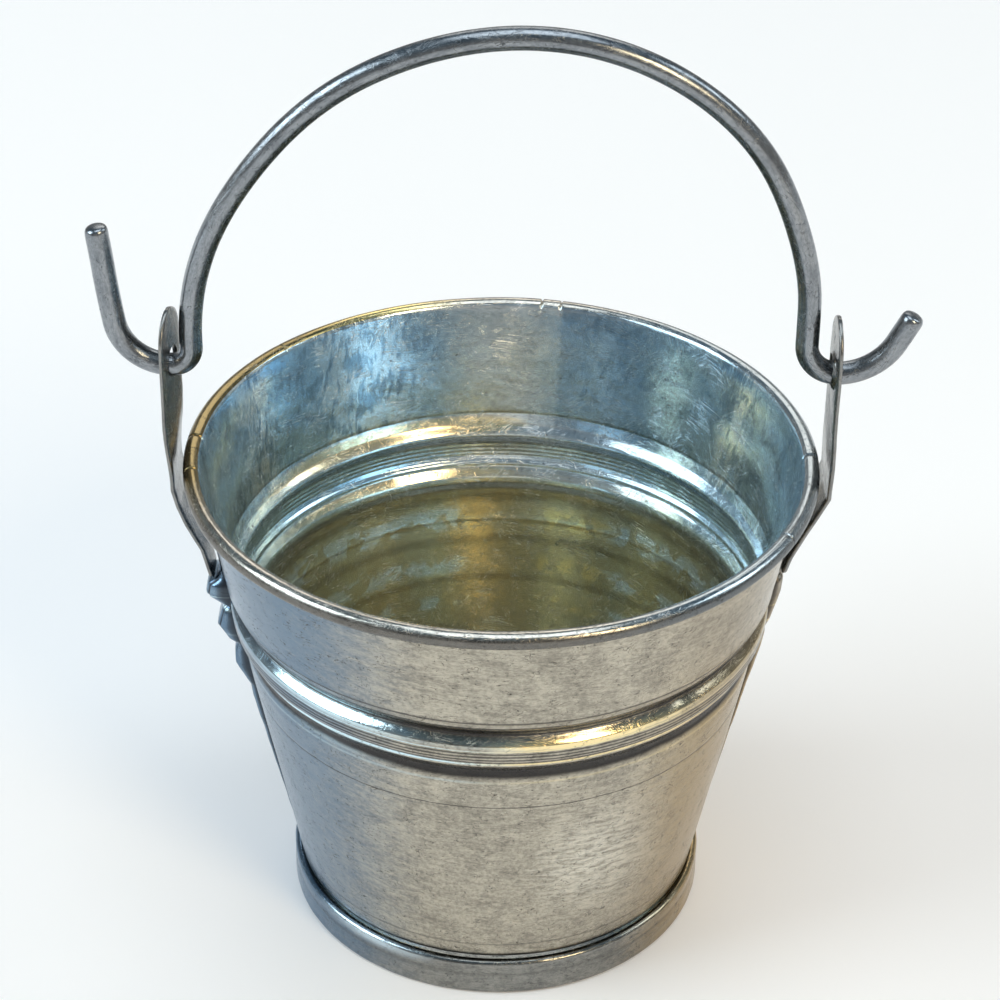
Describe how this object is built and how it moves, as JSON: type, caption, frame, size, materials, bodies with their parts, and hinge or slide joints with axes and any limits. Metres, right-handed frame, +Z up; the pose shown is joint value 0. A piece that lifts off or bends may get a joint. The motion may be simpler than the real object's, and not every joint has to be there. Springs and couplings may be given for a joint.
{
  "type": "florist bucket",
  "caption": "Small tapered galvanised sheet-steel pail with a rolled rim, swaged bead, folded side seams, pierced ears and a round wire bail that swings over the rim.",
  "frame": {"origin": "middle of the base, on the plane that the foot ring stands on", "axes": "+Z up along the pail, +X through the right ear and side seam, -Y towards the front wall"},
  "size_m": [0.0788, 0.0618, 0.0957],
  "materials": {
    "body_sheet": "bright galvanised sheet, lightly scuffed",
    "base_sheet": "bright galvanised sheet, lightly scuffed",
    "ear_sheet": "galvanised strap, satin",
    "bail_wire": "zinc-plated drawn wire, satin"
  },
  "bodies": {
    "pail": {"front_wall": "body_sheet", "back_wall": "body_sheet", "bottom_pan": "base_sheet", "left_ear": "ear_sheet", "right_ear": "ear_sheet"},
    "bail": {"bail": "bail_wire"}
  },
  "joints": [
    {"name": "bail_swing", "type": "hinge", "parent": "pail", "child": "bail", "pos_m": [0, 0, 0.06052], "axis": [1, 0, 0], "range_deg": [-107, 107]}
  ]
}
